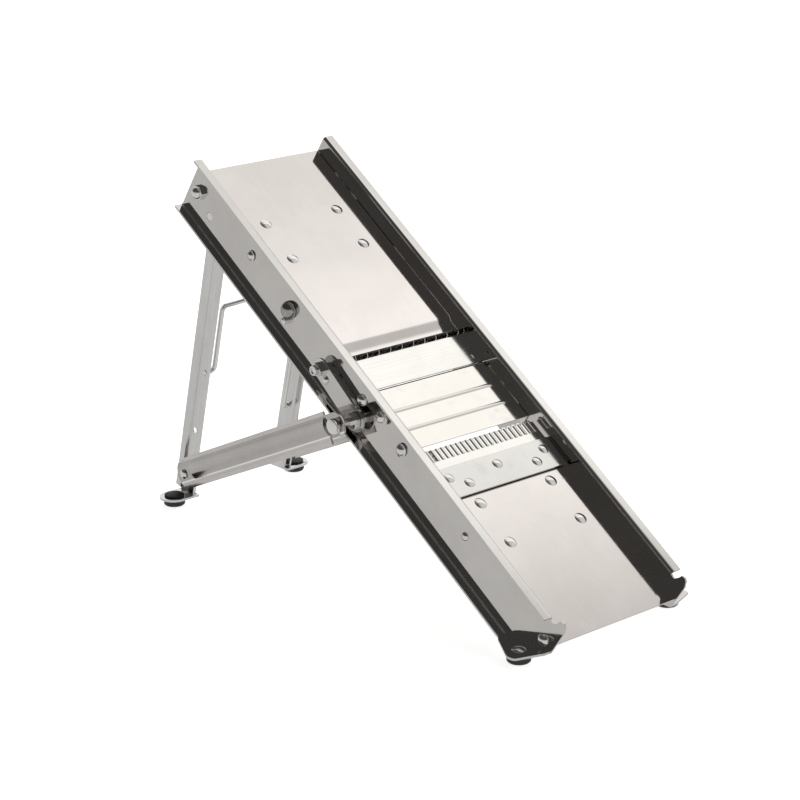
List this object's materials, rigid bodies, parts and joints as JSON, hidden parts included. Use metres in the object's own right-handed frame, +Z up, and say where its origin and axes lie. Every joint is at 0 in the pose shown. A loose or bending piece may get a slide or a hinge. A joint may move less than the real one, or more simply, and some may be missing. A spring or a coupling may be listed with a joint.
{
  "type": "mandoline slicer",
  "caption": "Stainless steel kitchen mandoline slicer on folding legs, with straight, wavy and julienne cutting zones between two side rails.",
  "frame": {"origin": "on the ground under the middle of the standing slicer's box", "axes": "+Z up; +Y from the low end towards the raised end; +X across, towards the right rail"},
  "size_m": [0.158, 0.3984, 0.2552],
  "materials": {
    "polished_steel": "mirror polished sheet, fine buffing lines",
    "satin_steel": "rolled satin sheet and turned parts",
    "blade_steel": "ground cutting steel",
    "bright_fasteners": "bright polished heads",
    "black_rubber": "matt moulded rubber"
  },
  "bodies": {
    "root": {"left_rail": "polished_steel", "right_rail": "polished_steel", "top_tie_rod": "satin_steel", "top_acorn_nuts": "bright_fasteners", "lower_tie_rod": "satin_steel", "lower_dome_nuts": "bright_fasteners", "leg_pivot_rod": "satin_steel", "middle_cross_rod": "satin_steel", "cross_rod_screws": "bright_fasteners", "blade_bed": "satin_steel", "straight_blade": "blade_steel", "straight_blade_screws": "bright_fasteners", "lower_deck": "polished_steel", "lower_deck_bracket": "satin_steel", "lower_deck_rivets": "bright_fasteners", "bracket_side_screws": "bright_fasteners", "wavy_blade": "blade_steel", "blade_holder": "polished_steel", "holder_rivets": "bright_fasteners", "bed_side_screws": "bright_fasteners", "knob_stop_screw": "bright_fasteners", "left_strut_pin": "bright_fasteners", "right_strut_pin": "bright_fasteners", "front_foot_rivets": "bright_fasteners", "front_rubber_feet": "black_rubber"},
    "upper_deck": {"upper_deck": "polished_steel", "upper_deck_bracket": "satin_steel", "upper_deck_rivets": "bright_fasteners", "guide_screws": "bright_fasteners"},
    "depth_knob": {"depth_knob": "bright_fasteners"},
    "julienne_lever": {"julienne_lever": "satin_steel", "lever_handle_nut": "bright_fasteners", "lever_handle_stud": "bright_fasteners", "lever_drive_pin": "bright_fasteners"},
    "julienne_comb": {"julienne_carrier": "satin_steel", "julienne_knives": "blade_steel"},
    "wavy_table": {"wavy_table": "polished_steel", "table_clamp_bolts": "bright_fasteners"},
    "legs": {"left_leg": "satin_steel", "right_leg": "satin_steel", "rear_foot_brackets": "satin_steel", "rear_foot_rivets": "black_rubber", "rear_rubber_feet": "black_rubber", "strut_pivot_pins": "bright_fasteners", "leg_wire": "satin_steel"},
    "left_strut": {"left_strut": "satin_steel"},
    "right_strut": {"right_strut": "satin_steel"}
  },
  "joints": [
    {"name": "depth_knob_turn", "type": "hinge", "parent": "root", "child": "depth_knob", "pos_m": [-0.0535, 0.05256, 0.1702], "axis": [1, 0, 0], "range_deg": [0, 180]},
    {"name": "upper_deck_tilt", "type": "hinge", "parent": "root", "child": "upper_deck", "pos_m": [0, 0.1457, 0.23241], "axis": [1, 0, 0], "range_deg": [0, 1.8]},
    {"name": "julienne_lever_swing", "type": "hinge", "parent": "root", "child": "julienne_lever", "pos_m": [-0.0579, -0.01663, 0.11278], "axis": [1, 0, 0], "range_deg": [-8, 0]},
    {"name": "julienne_comb_drop", "type": "hinge", "parent": "root", "child": "julienne_comb", "pos_m": [0, -0.01774, 0.12508], "axis": [1, 0, 0], "range_deg": [-10, 0]},
    {"name": "wavy_table_tilt", "type": "hinge", "parent": "root", "child": "wavy_table", "pos_m": [0, -0.01774, 0.12508], "axis": [1, 0, 0], "range_deg": [0, 4.8]},
    {"name": "leg_fold", "type": "hinge", "parent": "root", "child": "legs", "pos_m": [0, 0.13618, 0.21723], "axis": [1, 0, 0], "range_deg": [-60, 0]},
    {"name": "left_strut_fold", "type": "hinge", "parent": "legs", "child": "left_strut", "pos_m": [-0.0465, 0.18476, 0.02178], "axis": [1, 0, 0], "range_deg": [-62.4, 0]},
    {"name": "right_strut_fold", "type": "hinge", "parent": "legs", "child": "right_strut", "pos_m": [0.0465, 0.18476, 0.02178], "axis": [1, 0, 0], "range_deg": [-62.4, 0]}
  ],
  "couplings": [
    {"joint": "depth_knob_turn", "follows": "upper_deck_tilt", "ratio": 100},
    {"joint": "julienne_comb_drop", "follows": "julienne_lever_swing", "ratio": 1.25},
    {"joint": "left_strut_fold", "follows": "leg_fold", "ratio": 1.04},
    {"joint": "right_strut_fold", "follows": "leg_fold", "ratio": 1.04}
  ]
}
